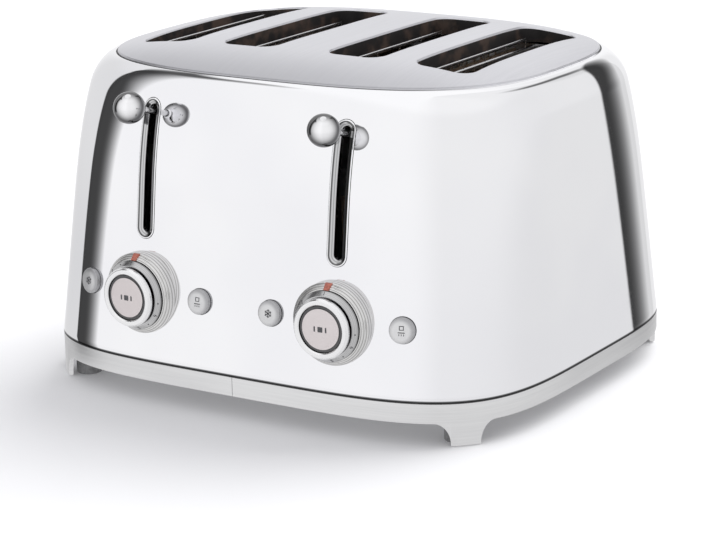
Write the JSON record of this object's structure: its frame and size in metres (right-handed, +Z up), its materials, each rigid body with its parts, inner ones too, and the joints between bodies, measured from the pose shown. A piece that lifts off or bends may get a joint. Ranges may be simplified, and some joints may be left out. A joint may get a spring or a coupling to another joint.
{
  "type": "toaster",
  "caption": "Toaster with a polished rounded cover, crowned satin top plate with long slots, upright ball levers, large round dials with push centres, and a satin plinth band on short feet.",
  "frame": {"origin": "on the table, under the middle of the whole object", "axes": "+Z up, +X to the viewer's right, the dials face -Y"},
  "size_m": [0.36, 0.327, 0.2256],
  "materials": {
    "chrome": "polished",
    "satin_steel": "satin",
    "zinc_steel": "plain zinc plated",
    "mica": "plain mica sheet",
    "rubber": "matt",
    "black_plastic": "matt",
    "board": "circuit board",
    "copper": "wound copper wire, drawn as one plain coil",
    "pearl_plastic": "satin pearl"
  },
  "bodies": {
    "root": {"body_shell": "chrome", "knob_bezel_left": "chrome", "knob_bezel_right": "chrome", "lever_slot_trim_left": "chrome", "lever_slot_trim_right": "chrome", "top_plate": "satin_steel", "base_trim_left": "satin_steel", "base_trim_right": "satin_steel", "base_pan": "zinc_steel", "chassis_front": "zinc_steel", "chassis_rear": "zinc_steel", "guide_rod_left": "zinc_steel", "guide_rod_right": "zinc_steel", "return_spring_left": "zinc_steel", "return_spring_right": "zinc_steel", "heater_card_1": "mica", "heater_card_2": "mica", "heater_card_3": "mica", "heater_card_4": "mica", "heater_card_5": "mica", "heater_card_6": "mica", "foot_pad_front_left": "rubber", "foot_pad_front_right": "rubber", "foot_pad_rear_left": "rubber", "foot_pad_rear_right": "rubber", "cord_gland": "black_plastic", "dial_encoder_left": "black_plastic", "dial_encoder_right": "black_plastic", "control_board_left": "board", "control_board_right": "board", "electromagnet_left": "copper", "electromagnet_right": "copper"},
    "lever_left": {"lever_arm_left": "zinc_steel", "lever_ball_left": "chrome", "carriage_left": "zinc_steel", "bread_rack_1": "zinc_steel", "bread_rack_2": "zinc_steel"},
    "left_guards_rightward": {"bread_guard_1_left": "zinc_steel", "bread_guard_2_left": "zinc_steel"},
    "left_guards_leftward": {"bread_guard_1_right": "zinc_steel", "bread_guard_2_right": "zinc_steel"},
    "dial_left": {"knob_dial_left": "chrome"},
    "stop_left": {"stop_button_left": "pearl_plastic"},
    "lever_right": {"lever_arm_right": "zinc_steel", "lever_ball_right": "chrome", "carriage_right": "zinc_steel", "bread_rack_3": "zinc_steel", "bread_rack_4": "zinc_steel"},
    "right_guards_rightward": {"bread_guard_3_left": "zinc_steel", "bread_guard_4_left": "zinc_steel"},
    "right_guards_leftward": {"bread_guard_3_right": "zinc_steel", "bread_guard_4_right": "zinc_steel"},
    "dial_right": {"knob_dial_right": "chrome"},
    "stop_right": {"stop_button_right": "pearl_plastic"},
    "function_1": {"function_button_1": "pearl_plastic"},
    "function_2": {"function_button_2": "pearl_plastic"},
    "function_3": {"function_button_3": "pearl_plastic"},
    "function_4": {"function_button_4": "pearl_plastic"},
    "tray_left": {"crumb_tray_left": "satin_steel"},
    "tray_right": {"crumb_tray_right": "satin_steel"}
  },
  "joints": [
    {"name": "lever_left_press", "type": "slide", "parent": "root", "child": "lever_left", "axis": [0, 0, -1], "range_m": [0, 0.07], "stiffness_N_per_m": 60, "springref_m": -0.06, "deforming": ["return_spring_left"]},
    {"name": "left_guards_rightward_slide", "type": "slide", "parent": "root", "child": "left_guards_rightward", "axis": [1, 0, 0], "range_m": [0, 0.005]},
    {"name": "left_guards_leftward_slide", "type": "slide", "parent": "root", "child": "left_guards_leftward", "axis": [-1, 0, 0], "range_m": [0, 0.005]},
    {"name": "dial_left_turn", "type": "hinge", "parent": "root", "child": "dial_left", "pos_m": [-0.0732, -0.1451, 0.0728], "axis": [0.0525, 0.9986, 0], "range_deg": [0, 240]},
    {"name": "stop_left_press", "type": "slide", "parent": "root", "child": "stop_left", "axis": [0.0525, 0.9986, 0], "range_m": [0, 0.0015], "stiffness_N_per_m": 400, "springref_m": -0.001},
    {"name": "lever_right_press", "type": "slide", "parent": "root", "child": "lever_right", "axis": [0, 0, -1], "range_m": [0, 0.07], "stiffness_N_per_m": 60, "springref_m": -0.06, "deforming": ["return_spring_right"]},
    {"name": "right_guards_rightward_slide", "type": "slide", "parent": "root", "child": "right_guards_rightward", "axis": [1, 0, 0], "range_m": [0, 0.005]},
    {"name": "right_guards_leftward_slide", "type": "slide", "parent": "root", "child": "right_guards_leftward", "axis": [-1, 0, 0], "range_m": [0, 0.005]},
    {"name": "dial_right_turn", "type": "hinge", "parent": "root", "child": "dial_right", "pos_m": [0.0732, -0.1451, 0.0728], "axis": [-0.0525, 0.9986, 0], "range_deg": [0, 240]},
    {"name": "stop_right_press", "type": "slide", "parent": "root", "child": "stop_right", "axis": [-0.0525, 0.9986, 0], "range_m": [0, 0.0015], "stiffness_N_per_m": 400, "springref_m": -0.001},
    {"name": "function_1_press", "type": "slide", "parent": "root", "child": "function_1", "axis": [0.2715, 0.9513, -0.1459], "range_m": [0, 0.0015], "stiffness_N_per_m": 300, "springref_m": -0.001},
    {"name": "function_2_press", "type": "slide", "parent": "root", "child": "function_2", "axis": [0.0022, 0.9911, -0.133], "range_m": [0, 0.0015], "stiffness_N_per_m": 300, "springref_m": -0.001},
    {"name": "function_3_press", "type": "slide", "parent": "root", "child": "function_3", "axis": [-0.0022, 0.9911, -0.133], "range_m": [0, 0.0015], "stiffness_N_per_m": 300, "springref_m": -0.001},
    {"name": "function_4_press", "type": "slide", "parent": "root", "child": "function_4", "axis": [-0.2715, 0.9513, -0.1459], "range_m": [0, 0.0015], "stiffness_N_per_m": 300, "springref_m": -0.001},
    {"name": "tray_left_slide", "type": "slide", "parent": "root", "child": "tray_left", "axis": [0, 1, 0], "range_m": [0, 0.16]},
    {"name": "tray_right_slide", "type": "slide", "parent": "root", "child": "tray_right", "axis": [0, 1, 0], "range_m": [0, 0.16]}
  ],
  "couplings": [
    {"joint": "left_guards_rightward_slide", "follows": "lever_left_press", "ratio": 0.071357},
    {"joint": "left_guards_leftward_slide", "follows": "lever_left_press", "ratio": 0.071357},
    {"joint": "right_guards_rightward_slide", "follows": "lever_right_press", "ratio": 0.071357},
    {"joint": "right_guards_leftward_slide", "follows": "lever_right_press", "ratio": 0.071357}
  ]
}
